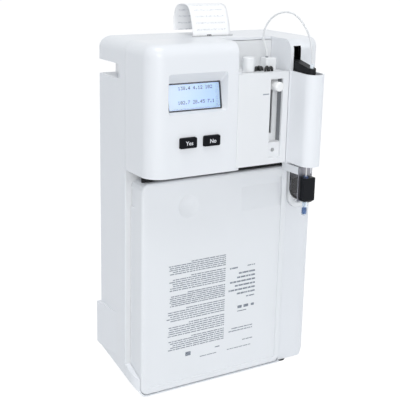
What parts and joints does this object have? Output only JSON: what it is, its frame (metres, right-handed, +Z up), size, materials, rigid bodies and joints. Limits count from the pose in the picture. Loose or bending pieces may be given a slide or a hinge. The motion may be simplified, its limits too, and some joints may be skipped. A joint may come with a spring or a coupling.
{
  "type": "electrolyte analyzer",
  "caption": "Benchtop electrolyte analyzer with display, keys, electrode module behind a windowed door, sampler arm, pump, pull-out solution pack and receipt printer.",
  "frame": {"origin": "middle of the footprint, on the plane the feet rest on", "axes": "+Z up, -Y towards the person who uses it, +X to that person's right"},
  "size_m": [0.2494, 0.155, 0.4277],
  "materials": {
    "case_white": "satin moulded",
    "chassis_white": "moulded",
    "screen_glass": "clear",
    "display_cell": "pale blue",
    "circuit_board": "solder mask",
    "black_plastic": "moulded",
    "black_gloss": "polished",
    "white_gloss": "polished",
    "electrode_clear": "clear acrylic",
    "lead_rubber": "flexible",
    "steel": "machined",
    "sheet_steel": "bent sheet",
    "motor_case": "painted",
    "clear_tube": "clear",
    "clear_plastic": "clear",
    "blue_rubber": "moulded",
    "black_rubber": "moulded",
    "smoked_plastic": "smoked",
    "hose_rubber": "silicone",
    "carton": "corrugated board",
    "pouch_film": "foil film",
    "grey_plastic": "moulded",
    "paper": "thermal paper"
  },
  "bodies": {
    "analyzer": {"rear_casing": "case_white", "casing_screws": "steel", "rubber_feet": "black_rubber", "front_chassis": "chassis_white", "front_tray": "case_white", "side_panel": "case_white", "display_cover": "case_white", "column_housing": "case_white", "recess_panel": "case_white", "lcd_glass": "screen_glass", "lcd_module": "display_cell", "keypad_board": "circuit_board", "module_body": "white_gloss", "electrodes": "electrode_clear", "module_cap": "white_gloss", "tube_fitting": "white_gloss", "electrode_leads": "lead_rubber", "door_hinge_pins": "steel", "sampler_cover": "case_white", "guide_rod": "steel", "sampler_frame": "sheet_steel", "sampler_motor": "motor_case", "probe_guide": "white_gloss", "wiper_bracket": "sheet_steel", "wiper_block": "black_plastic", "wiper_sleeve": "clear_plastic", "wiper_seal": "blue_rubber", "pump_housing": "white_gloss", "pump_cover": "smoked_plastic", "pump_hose": "hose_rubber", "pump_motor": "motor_case", "valve_block": "electrode_clear", "printer_frame": "black_plastic", "roll_spindle": "grey_plastic", "tear_bar": "steel", "receipt_paper": "paper", "power_inlet": "black_plastic", "power_supply": "sheet_steel", "main_board": "circuit_board", "sample_tube": "clear_tube", "wiper_tube": "clear_tube"},
    "pack": {"pack_front": "case_white", "pack_box": "carton", "fluid_pouches": "pouch_film", "pack_connector": "grey_plastic"},
    "door": {"module_door": "case_white"},
    "knob": {"latch_knob": "white_gloss"},
    "sampler": {"sampler_arm": "black_plastic", "sample_probe": "steel"},
    "screw": {"lead_screw": "steel"},
    "rotor": {"pump_rotor": "black_plastic"},
    "roller_1": {"pump_roller_1": "white_gloss"},
    "roller_2": {"pump_roller_2": "white_gloss"},
    "roller_3": {"pump_roller_3": "white_gloss"},
    "platen": {"platen_roller": "black_rubber"},
    "roll": {"paper_roll": "paper"},
    "hatch": {"paper_hatch": "case_white"},
    "rocker": {"switch_rocker": "black_gloss"},
    "accept": {"key_accept": "black_gloss"},
    "reject": {"key_reject": "black_gloss"}
  },
  "joints": [
    {"name": "key_accept_press", "type": "slide", "parent": "analyzer", "child": "accept", "axis": [0, 1, 0], "range_m": [0, 0.0015], "stiffness_N_per_m": 900},
    {"name": "key_reject_press", "type": "slide", "parent": "analyzer", "child": "reject", "axis": [0, 1, 0], "range_m": [0, 0.0015], "stiffness_N_per_m": 900},
    {"name": "pack_slide", "type": "slide", "parent": "analyzer", "child": "pack", "axis": [0, -1, 0], "range_m": [0, 0.036]},
    {"name": "module_door_hinge", "type": "hinge", "parent": "analyzer", "child": "door", "pos_m": [-0.0152, -0.0402, 0.32], "axis": [0, 0, 1], "range_deg": [-95, 0]},
    {"name": "latch_knob_slide", "type": "slide", "parent": "analyzer", "child": "knob", "axis": [0, 0, 1], "range_m": [-0.05, 0]},
    {"name": "sampler_slide", "type": "slide", "parent": "analyzer", "child": "sampler", "axis": [0, 0, 1], "range_m": [-0.058, 0]},
    {"name": "lead_screw_turn", "type": "hinge", "parent": "analyzer", "child": "screw", "pos_m": [0.0667, -0.0155, 0.32], "axis": [0, 0, 1], "range_deg": [-1044, 0]},
    {"name": "pump_rotor_turn", "type": "hinge", "parent": "analyzer", "child": "rotor", "pos_m": [0.0947, -0.0018, 0.221], "axis": [0, 1, 0], "continuous": true},
    {"name": "pump_roller_1_turn", "type": "hinge", "parent": "rotor", "child": "roller_1", "pos_m": [0.0947, -0.0018, 0.2284], "axis": [0, 1, 0], "continuous": true},
    {"name": "pump_roller_2_turn", "type": "hinge", "parent": "rotor", "child": "roller_2", "pos_m": [0.08829, -0.0018, 0.2173], "axis": [0, 1, 0], "continuous": true},
    {"name": "pump_roller_3_turn", "type": "hinge", "parent": "rotor", "child": "roller_3", "pos_m": [0.10111, -0.0018, 0.2173], "axis": [0, 1, 0], "continuous": true},
    {"name": "platen_turn", "type": "hinge", "parent": "analyzer", "child": "platen", "pos_m": [-0.0125, 0.02445, 0.381], "axis": [1, 0, 0], "continuous": true},
    {"name": "paper_roll_turn", "type": "hinge", "parent": "analyzer", "child": "roll", "pos_m": [-0.0125, 0.044, 0.351], "axis": [1, 0, 0], "continuous": true},
    {"name": "paper_hatch_hinge", "type": "hinge", "parent": "analyzer", "child": "hatch", "pos_m": [-0.0125, 0.0762, 0.3297], "axis": [1, 0, 0], "range_deg": [-100, 0]},
    {"name": "switch_rocker_turn", "type": "hinge", "parent": "analyzer", "child": "rocker", "pos_m": [0.0855, 0.0735, 0.092], "axis": [0, 0, 1], "range_deg": [0, 18]}
  ],
  "couplings": [
    {"joint": "lead_screw_turn", "follows": "sampler_slide", "rad_per_m": 314.16},
    {"joint": "pump_roller_1_turn", "follows": "pump_rotor_turn", "ratio": -3.6429},
    {"joint": "pump_roller_2_turn", "follows": "pump_rotor_turn", "ratio": -3.6429},
    {"joint": "pump_roller_3_turn", "follows": "pump_rotor_turn", "ratio": -3.6429},
    {"joint": "paper_roll_turn", "follows": "platen_turn", "ratio": 0.26316}
  ]
}
